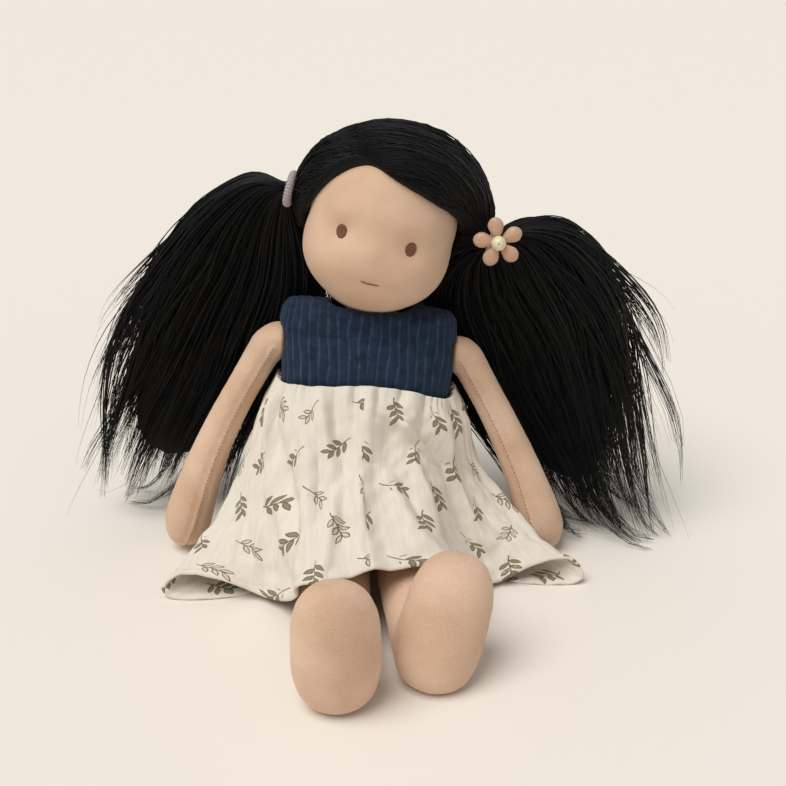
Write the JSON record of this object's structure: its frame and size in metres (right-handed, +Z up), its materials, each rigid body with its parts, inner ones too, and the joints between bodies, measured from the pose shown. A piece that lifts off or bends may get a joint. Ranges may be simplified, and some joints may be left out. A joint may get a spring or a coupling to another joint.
{
  "type": "waldorf doll",
  "caption": "Seated cloth doll with a stuffed head and limbs, hair tied in two bunches, a corduroy bodice and a gathered gauze skirt, with jointed neck, shoulders, lap and legs",
  "frame": {"origin": "the middle of the flat patch under the seat, on the surface that the doll sits on", "axes": "+Z up, -Y the way the doll faces, +X the doll's left"},
  "size_m": [0.3061, 0.2146, 0.2108],
  "materials": {
    "skin_knit": "brushed cotton knit, matte",
    "wool": "carded wool, hidden inside the skins",
    "thread": "waxed cotton thread",
    "eye_thread": "satin-stitched cotton thread, faint sheen",
    "mouth_thread": "stem-stitched cotton thread",
    "hair": "mohair yarn brushed to strands, soft sheen",
    "tie_elastic": "ribbed elastic",
    "petal_felt": "padded fine cloth, faint sheen",
    "bead": "painted wooden bead, satin",
    "corduroy": "wide-wale cotton corduroy",
    "gauze": "crinkled double cotton gauze with a leaf print",
    "button": "small flat button, satin"
  },
  "bodies": {
    "hips": {"seat_skin": "skin_knit", "seat_stuffing": "wool", "skirt": "gauze", "hip_thread_left": "thread", "hip_thread_right": "thread"},
    "torso": {"torso_skin": "skin_knit", "torso_stuffing": "wool", "bodice": "corduroy", "button_upper": "button", "button_lower": "button", "shoulder_thread_left": "thread", "shoulder_thread_right": "thread"},
    "neck": {"neck_core": "skin_knit", "neck_thread": "thread"},
    "head": {"head_skin": "skin_knit", "head_core": "wool", "eye_line_thread": "thread", "eye_left": "eye_thread", "eye_right": "eye_thread", "mouth": "mouth_thread", "hair_cap": "hair", "hair_tie_left": "tie_elastic", "hair_tie_right": "tie_elastic", "flower_petal_1": "petal_felt", "flower_petal_2": "petal_felt", "flower_petal_3": "petal_felt", "flower_petal_4": "petal_felt", "flower_petal_5": "petal_felt", "flower_bead": "bead", "flower_shank": "thread"},
    "pigtail_left": {"pigtail_left": "hair"},
    "pigtail_right": {"pigtail_right": "hair"},
    "arm_left": {"arm_left_skin": "skin_knit", "arm_left_stuffing": "wool"},
    "arm_right": {"arm_right_skin": "skin_knit", "arm_right_stuffing": "wool"},
    "leg_left": {"leg_left_skin": "skin_knit", "leg_left_stuffing": "wool"},
    "leg_right": {"leg_right_skin": "skin_knit", "leg_right_stuffing": "wool"}
  },
  "joints": [
    {"name": "hip_fold", "type": "hinge", "parent": "hips", "child": "torso", "pos_m": [-0.007, 0.002, 0.03], "axis": [-0.9962, 0, 0.0872], "range_deg": [-30, 50], "deforming": ["skirt"]},
    {"name": "head_turn", "type": "hinge", "parent": "torso", "child": "neck", "pos_m": [0.00379, 0.0194, 0.15331], "axis": [0.0863, 0.1392, 0.9865], "range_deg": [-35, 35]},
    {"name": "head_tilt", "type": "hinge", "parent": "neck", "child": "head", "pos_m": [0.00379, 0.0194, 0.15331], "axis": [-0.0121, 0.9903, -0.1386], "range_deg": [-20, 15]},
    {"name": "shoulder_left", "type": "hinge", "parent": "torso", "child": "arm_left", "pos_m": [0.03844, 0.0123, 0.09958], "axis": [-0.9962, 0, 0.0872], "range_deg": [-15, 130]},
    {"name": "shoulder_right", "type": "hinge", "parent": "torso", "child": "arm_right", "pos_m": [-0.03966, 0.0123, 0.10642], "axis": [-0.9962, 0, 0.0872], "range_deg": [-15, 130]},
    {"name": "hip_left", "type": "hinge", "parent": "hips", "child": "leg_left", "pos_m": [0.0173, -0.0277, 0.016], "axis": [-1, 0, 0], "range_deg": [0, 50]},
    {"name": "hip_right", "type": "hinge", "parent": "hips", "child": "leg_right", "pos_m": [-0.0173, -0.0277, 0.016], "axis": [-1, 0, 0], "range_deg": [0, 50]},
    {"name": "pigtail_lift_left", "type": "hinge", "parent": "head", "child": "pigtail_left", "pos_m": [0.05702, 0.01361, 0.15489], "axis": [0, -1, 0], "range_deg": [0, 50], "deforming": ["pigtail_left"]},
    {"name": "pigtail_lift_right", "type": "hinge", "parent": "head", "child": "pigtail_right", "pos_m": [-0.0367, 0.02253, 0.17801], "axis": [0, 1, 0], "range_deg": [0, 50], "deforming": ["pigtail_right"]}
  ]
}
